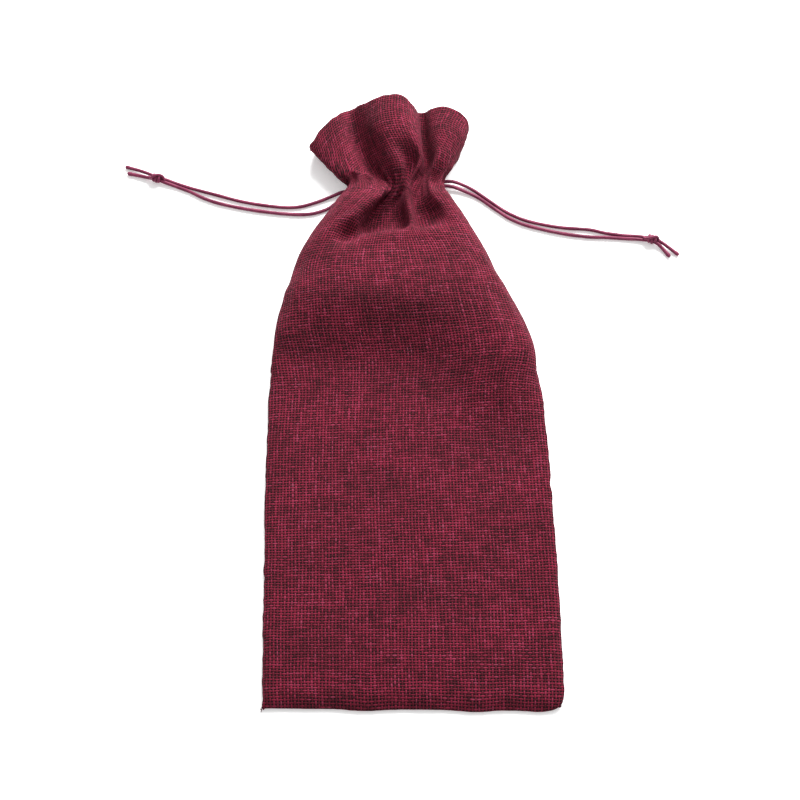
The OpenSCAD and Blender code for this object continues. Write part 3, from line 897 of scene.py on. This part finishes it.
def make_loop(name, turn, shift, material):
    """The part of a drawcord that stays inside the gathered casing."""
    t = np.linspace(LOOP_OPEN, 2 * np.pi - LOOP_OPEN, LOOP_POINTS) + turn
    across, up = LOOP_HALF
    ring_line = np.stack([across * np.cos(t), np.full_like(t, shift), up * np.sin(t)], 1)
    loop = tubes_mesh(name + "_cord", [ring_line + LOOP_CENTRE], [CORD_DIAMETER / 2], material)
    declare(loop, "bag", "cord", name)


# ---------------- the two panels of cloth

FACING_ROWS = round((PANEL_LENGTH - CASING_LOW) / CELL_ALONG)
FACING_SMOOTHED = 2  # times, as the facing lies flatter than the face over it
SEAM_TURN_IN = 1.4
FOOT_MIDDLE = 1.0  # height of the turned-in foot edge


def smooth_rows(points, times):
    """Evens out each row of a grid of points, apart from its two ends."""
    for _ in range(times):
        points[:, 1:-1] = 0.5 * points[:, 1:-1] + 0.25 * (points[:, :-2] + points[:, 2:])
    return points


def seam_turned_in(cloth, column):
    """A line just inside a side seam, where both panels' edges are turned into the bag."""
    seam = cloth[:, column]
    inside = 0.5 * (cloth[:, (column + 1) % CELLS_AROUND] + cloth[:, column - 1]) - seam
    return seam + unit(inside) * SEAM_TURN_IN


def facing(rows):
    """The rows of a panel again from the hem down to the casing's lower stitch line."""
    return rows[::-1][:FACING_ROWS + 1]


def panel_points(cloth, normal, columns):
    """A panel's rows of points: foot edge, face, hem fold and facing, between its turned-in side edges."""
    face, out = cloth[:, columns], normal[:, columns]
    foot = face[0] + (0, SEAM_TURN_IN, 0)
    foot[:, 2] = FOOT_MIDDLE
    fold = face[-1] + (unit(face[-1] - face[-2]) - out[-1]) * 0.5 * FACING_GAP
    inner = smooth_rows(facing(face - out * FACING_GAP).copy(), FACING_SMOOTHED)
    middle = np.concatenate([foot[None], face, fold[None], inner])
    edges = []
    for column in (columns[0], columns[-1]):
        side = seam_turned_in(cloth, column)
        edge = np.concatenate([side[:1] + (0, SEAM_TURN_IN, 0), side, side[-1:], facing(side)])
        edges.append(edge[:, None])
    return np.concatenate([edges[0], middle, edges[1]], 1)


def thread_places(face):
    """Where each point of a panel's face lies in the weave: across and along as it was cut, up to the casing.
    Over the casing both are measured on the shape itself, as the gathers there hide part of the cloth."""
    columns, rows = np.arange(HALF + 1) * CELL_ACROSS, np.arange(CELLS_ALONG + 1) * CELL_ALONG
    cut_across, cut_along = np.meshgrid(columns, rows)
    widths = np.linalg.norm(np.diff(face, axis=1), axis=-1)
    lengths = np.linalg.norm(np.diff(face, axis=0), axis=-1)
    from_seam = np.pad(np.cumsum(widths, 1), ((0, 0), (1, 0)))
    to_hem = np.pad(np.cumsum(lengths[::-1], 0)[::-1], ((0, 1), (0, 0)))
    across = PANEL_WIDTH / 2 + from_seam - from_seam[:, HALF // 2, None]
    along = PANEL_LENGTH - to_hem
    gathered = np.clip((cut_along - CASING_LOW) / (CASING_HIGH - CASING_LOW), 0, 1)
    return cut_across + (across - cut_across) * gathered, cut_along + (along - cut_along) * gathered


def panel_weave(face, start):
    """UVs in metres for all of a panel's points. The facing's weave runs on from the face's round the hem."""
    u, v = thread_places(face)
    round_hem = 2 * (PANEL_LENGTH + FACING_GAP)
    u = np.concatenate([u[:1], u, u[-1:], facing(u)]) + start
    v = np.concatenate([v[:1] - SEAM_TURN_IN, v, v[-1:] + FACING_GAP, round_hem - facing(v)])
    u = np.concatenate([u[:, :1] - SEAM_TURN_IN, u, u[:, -1:] + SEAM_TURN_IN], 1)
    v = np.concatenate([v[:, :1], v, v[:, -1:]], 1)
    return np.stack([u, v], -1).reshape(-1, 2) * MM


def make_panel(name, cloth, normal, columns, weave_start, nodes, material):
    """One panel, with its hem, its foot and its seam edges turned into the bag."""
    points = panel_points(cloth, normal, columns)
    faces = grid_faces(*points.shape[:2])
    uvs = panel_weave(cloth[:, columns], weave_start)[np.array(faces).ravel()]
    panel = new_mesh(name, points.reshape(-1, 3), faces, uvs, material)
    finer = panel.modifiers.new("finer", "SUBSURF")
    finer.levels = 1
    finer.render_levels = 1
    finer.boundary_smooth = "PRESERVE_CORNERS"
    thicken(panel, CLOTH_THICK, -1)
    declare(panel, "bag", "cloth", *nodes)


# ---------------- seams, overlocking and stitches

ALLOWANCE = 6.0
ALLOWANCE_THICK = 0.3
ALLOWANCE_START = 0.7  # share of the way from the seam to the next column of points
BOTTOM_SEAM_IN = 1.2  # from the foot to the bottom seam's allowance
OVERLOCK_RADIUS = 0.15
OVERLOCK_OVER, OVERLOCK_IN = 0.25, 2.2  # from the cut edge, outwards past it and inwards
OVERLOCK_LIFT = 0.25  # over and under the allowance
STITCH_LENGTH, STITCH_GAP = 3.0, 1.0
STITCH_POINTS = 5
STITCH_RADIUS = 0.16
STITCH_PROUD = 0.05  # over the cloth's face


def strip_piece(name, edge, inner, material, node):
    """A thin strip of cloth between two lines of points."""
    rows = np.stack([edge, (edge + inner) / 2, inner], 1)
    faces = grid_faces(*rows.shape[:2])
    grid_u, grid_v = np.meshgrid(np.linspace(0, ALLOWANCE, 3) * MM, np.arange(len(edge)) * CELL_ALONG * MM)
    flat = np.stack([grid_u, grid_v], -1).reshape(-1, 2)
    strip = new_mesh(name, rows.reshape(-1, 3), faces, flat[np.array(faces).ravel()], material)
    thicken(strip, ALLOWANCE_THICK, 0)
    declare(strip, "bag", "cloth", node)


def side_allowance(cloth, side):
    """A side seam's allowance, from just inside the seam to its edge, midway between the two layers."""
    top = round(CASING_LOW / CELL_ALONG)
    column = 0 if side == "right" else HALF
    cells = round(ALLOWANCE / CELL_ACROSS)
    seam = cloth[1:top, column]
    near = 0.5 * (cloth[1:top, (column + 1) % CELLS_AROUND] + cloth[1:top, column - 1])
    far = 0.5 * (cloth[1:top, (column + cells) % CELLS_AROUND] + cloth[1:top, column - cells])
    return seam + ALLOWANCE_START * (near - seam), far


def bottom_allowance(cloth):
    """The bottom seam's allowance, midway between the two layers, clear of both corners."""
    cells = round(ALLOWANCE / CELL_ALONG)
    front, back = cloth[:cells + 1, 3:HALF - 2], cloth[:cells + 1, :HALF + 2:-1]
    middle = 0.5 * (front + back[:, :front.shape[1]])
    return middle[0], middle[-1]


def overlock_path(near, far):
    """Thread that zigzags over the cut edge of an allowance."""
    edge = even_points(far, 2 * len(far))
    inward = even_points(unit(far - near), 2 * len(far))
    step = np.arange(len(edge))
    swing = np.where(step % 2, OVERLOCK_OVER, -OVERLOCK_IN)[:, None]
    lift = np.where(step % 4 < 2, OVERLOCK_LIFT, -OVERLOCK_LIFT)[:, None]
    return edge + inward * swing + np.array((0, 0, 1.0)) * lift


def make_seam(seam, near, far, from_edge, cloth_material, thread_material):
    """A seam's allowance and the thread over its cut edge."""
    strip_piece(seam + "_allowance_strip", near + from_edge, far, cloth_material, seam + "_allowance")
    name = seam + "_overlock"
    path = overlock_path(near, far)
    thread = tubes_mesh(name + "_thread", [path], [OVERLOCK_RADIUS], thread_material, sides=5)
    declare(thread, "bag", "thread", name)


def stitch_paths(line):
    """A line of points cut into short dashes, the way a sewn line shows."""
    pitch = STITCH_LENGTH + STITCH_GAP
    along_stitch = np.linspace(0, STITCH_LENGTH, STITCH_POINTS) + STITCH_GAP / 2
    return [read_path(line, along_stitch + n * pitch) for n in range(int(path_length(line) // pitch))]


def make_stitch_line(name, cloth, normal, distance, columns, material):
    """One row of stitches through a panel, at a distance from the foot."""
    row = distance / CELL_ALONG
    low, share = int(row), row - int(row)
    line = (1 - share) * cloth[low, columns] + share * cloth[low + 1, columns]
    out = (1 - share) * normal[low, columns] + share * normal[low + 1, columns]
    paths = stitch_paths(line + out * STITCH_PROUD)
    stitches = tubes_mesh(name + "_thread", paths, [STITCH_RADIUS] * len(paths), material, sides=6)
    declare(stitches, "bag", "thread", name)


LOOSE_ENDS = [
    [(-74.2, -171.4, 1.0), (-75.2, -172.0, 0.9), (-76.0, -172.0, 0.7)],
    [(-74.6, -171.2, 1.0), (-75.3, -172.4, 0.8), (-75.4, -173.2, 0.6)],
]
LOOSE_END_STEP = 0.4
LOOSE_END_RADIUS = 0.2


def make_loose_ends(material):
    """Two cut thread ends at the foot's left corner."""
    paths = [smooth_path(points, LOOSE_END_STEP) for points in LOOSE_ENDS]
    ends = tubes_mesh("corner_thread_ends", paths, [LOOSE_END_RADIUS] * len(paths), material, sides=6)
    declare(ends, "bag", "thread")


# ---------------- floor and light

FLOOR_SIDE = 5000.0
WORLD_LIGHT = 0.62
# The place and size are in metres, and the power in watts.
KEY_PLACE = (0.32, 0.94, 0.60)
KEY_SIZE = (0.9, 0.7)
KEY_POWER = 42


def make_floor(material):
    """The plain table that the bag lies on."""
    corners = [(0, 0), (1, 0), (1, 1), (0, 1)]
    points = [((x - 0.5) * FLOOR_SIDE, (y - 0.5) * FLOOR_SIDE, 0) for x, y in corners]
    uvs = [(x * FLOOR_SIDE * MM, y * FLOOR_SIDE * MM) for x, y in corners]
    new_mesh("floor", points, [(0, 1, 2, 3)], uvs, material)


def make_light():
    """One soft window-like light from behind the bag's mouth, and an even white room."""
    world = bpy.data.worlds.new("studio")
    world.use_nodes = True
    background = world.node_tree.nodes["Background"]
    background.inputs["Color"].default_value = (1, 1, 1, 1)
    background.inputs["Strength"].default_value = WORLD_LIGHT
    bpy.context.scene.world = world
    key = bpy.data.objects.new("key", bpy.data.lights.new("key", "AREA"))
    key.data.shape = "RECTANGLE"
    key.data.size, key.data.size_y = KEY_SIZE
    key.data.energy = KEY_POWER
    x, y, z = KEY_PLACE
    key.location = KEY_PLACE
    key.rotation_euler = (math.atan2(math.hypot(x, y), z), 0, math.atan2(-y, -x) - math.pi / 2)
    bpy.context.scene.collection.objects.link(key)
    bpy.context.scene.view_settings.view_transform = "Standard"


# ---------------- building

def make_cords(material):
    """Both drawcords: a knot, two tails and the loop in the casing each."""
    for side in ("left", "right"):
        body = side + "_drawcord"
        knot = make_knot(side + "_knot", body, material)
        for tail in ("_cord_front_tail", "_cord_back_tail"):
            make_strand(side + tail, body, material)
    make_loop("left_cord_loop", math.pi, LOOP_SHIFT, material)
    make_loop("right_cord_loop", 0.0, -LOOP_SHIFT, material)


def make_bag(weave, thread):
    """Both panels of cloth, with the stitches and seams that hold them."""
    cloth = handled(settled_cloth())
    normal = outward(cloth)
    panels = {"front": np.arange(HALF + 1), "back": np.arange(HALF, CELLS_AROUND + 1) % CELLS_AROUND}
    for n, (side, columns) in enumerate(panels.items()):
        nodes = [side + part for part in ("_panel", "_casing", "_ruffle", "_casing_lining")]
        make_panel(side + "_cloth", cloth, normal, columns, 2 * n * PANEL_WIDTH, nodes, weave)
    for level, distance in (("lower", CASING_LOW), ("upper", CASING_HIGH)):
        for side, columns in panels.items():
            make_stitch_line(level + "_casing_stitch_" + side, cloth, normal, distance, columns, thread)
    for side in ("left", "right"):
        make_seam(side + "_seam", *side_allowance(cloth, side), (0, 0, 0), weave, thread)
    make_seam("bottom_seam", *bottom_allowance(cloth), (0, BOTTOM_SEAM_IN, 0), weave, thread)
    make_loose_ends(thread)


make_camera()
make_cords(satin_cord())
make_bag(woven_cloth(), sewing_thread())
make_floor(pale_floor())
make_light()
